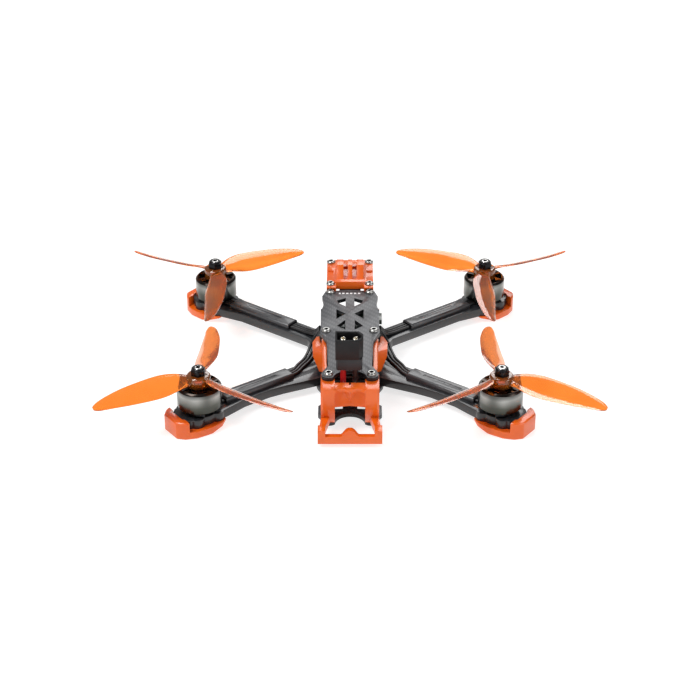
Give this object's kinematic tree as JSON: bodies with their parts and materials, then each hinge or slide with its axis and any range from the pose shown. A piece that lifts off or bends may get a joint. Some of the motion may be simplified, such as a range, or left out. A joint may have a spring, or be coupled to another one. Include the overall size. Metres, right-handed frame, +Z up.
{
  "type": "fpv racing drone",
  "caption": "Carbon-frame racing quadcopter with orange three-bladed propellers, arm guards, a nose action-camera mount and a battery connector on short leads.",
  "frame": {"origin": "on the ground, midway between the four motors", "axes": "+X to the right, +Y to the nose, +Z up"},
  "size_m": [0.2936, 0.209, 0.066],
  "materials": {
    "carbon": "woven carbon fibre, satin",
    "tpu_orange": "printed soft plastic, satin",
    "prop_orange": "translucent gloss",
    "black_plastic": "satin",
    "aluminium": "anodised satin",
    "steel": "zinc plated",
    "black_steel": "black oxide, satin",
    "bell_metal": "polished, gunmetal top",
    "board": "lacquered circuit board",
    "copper": "enamelled wire",
    "laminations": "coated steel laminations",
    "wire_black": "silicone",
    "wire_red": "silicone",
    "rubber_black": "matte",
    "connector_dark": "moulded nylon",
    "connector_grey": "moulded nylon",
    "gold": "plated contact",
    "lens": "coated glass in a black barrel"
  },
  "bodies": {
    "airframe": {"arm_front_left": "carbon", "arm_front_right": "carbon", "arm_guard_front_left": "tpu_orange", "arm_guard_front_right": "tpu_orange", "arm_guard_rear_left": "tpu_orange", "arm_guard_rear_right": "tpu_orange", "arm_rear_left": "carbon", "arm_rear_right": "carbon", "battery_lead_black": "wire_black", "battery_lead_red": "wire_red", "bottom_plate": "carbon", "bottom_screws": "steel", "camera_side_plate_left": "aluminium", "camera_side_plate_right": "aluminium", "capacitor": "black_plastic", "esc_board": "board", "flight_controller": "board", "front_mount": "tpu_orange", "mid_plate": "carbon", "motor_base_front_left": "aluminium", "motor_base_front_right": "aluminium", "motor_base_rear_left": "aluminium", "motor_base_rear_right": "aluminium", "motor_bearings": "steel", "motor_screws": "steel", "motor_wires": "wire_black", "receiver": "board", "side_panel_left": "tpu_orange", "side_panel_right": "tpu_orange", "stack_grommets": "rubber_black", "stack_screws_and_nuts": "black_steel", "standoffs": "aluminium", "stator_windings": "copper", "stators": "laminations", "tail_mount": "tpu_orange", "top_plate": "carbon", "top_screws": "steel", "video_transmitter": "aluminium", "wire_cover_front_left": "black_plastic", "wire_cover_front_right": "black_plastic", "wire_cover_rear_left": "black_plastic", "wire_cover_rear_right": "black_plastic", "xt60_cover": "connector_grey", "xt60_housing": "connector_dark", "xt60_pins": "gold"},
    "camera": {"fpv_camera": "black_plastic", "camera_lens": "lens", "camera_screws": "steel"},
    "rotor_front_left": {"motor_bell_front_left": "bell_metal", "propeller_front_left": "prop_orange", "prop_nut_front_left": "black_steel"},
    "rotor_front_right": {"motor_bell_front_right": "bell_metal", "propeller_front_right": "prop_orange", "prop_nut_front_right": "black_steel"},
    "rotor_rear_left": {"motor_bell_rear_left": "bell_metal", "propeller_rear_left": "prop_orange", "prop_nut_rear_left": "black_steel"},
    "rotor_rear_right": {"motor_bell_rear_right": "bell_metal", "propeller_rear_right": "prop_orange", "prop_nut_rear_right": "black_steel"}
  },
  "joints": [
    {"name": "front_left_motor_spin", "type": "hinge", "parent": "airframe", "child": "rotor_front_left", "pos_m": [-0.0885, 0.06945, 0.02], "axis": [0, 0, 1], "continuous": true},
    {"name": "front_right_motor_spin", "type": "hinge", "parent": "airframe", "child": "rotor_front_right", "pos_m": [0.0885, 0.06945, 0.02], "axis": [0, 0, 1], "continuous": true},
    {"name": "rear_left_motor_spin", "type": "hinge", "parent": "airframe", "child": "rotor_rear_left", "pos_m": [-0.0885, -0.06945, 0.02], "axis": [0, 0, 1], "continuous": true},
    {"name": "rear_right_motor_spin", "type": "hinge", "parent": "airframe", "child": "rotor_rear_right", "pos_m": [0.0885, -0.06945, 0.02], "axis": [0, 0, 1], "continuous": true},
    {"name": "camera_tilt", "type": "hinge", "parent": "airframe", "child": "camera", "pos_m": [0, 0.067, 0.0262], "axis": [1, 0, 0], "range_deg": [-20, 25]}
  ]
}
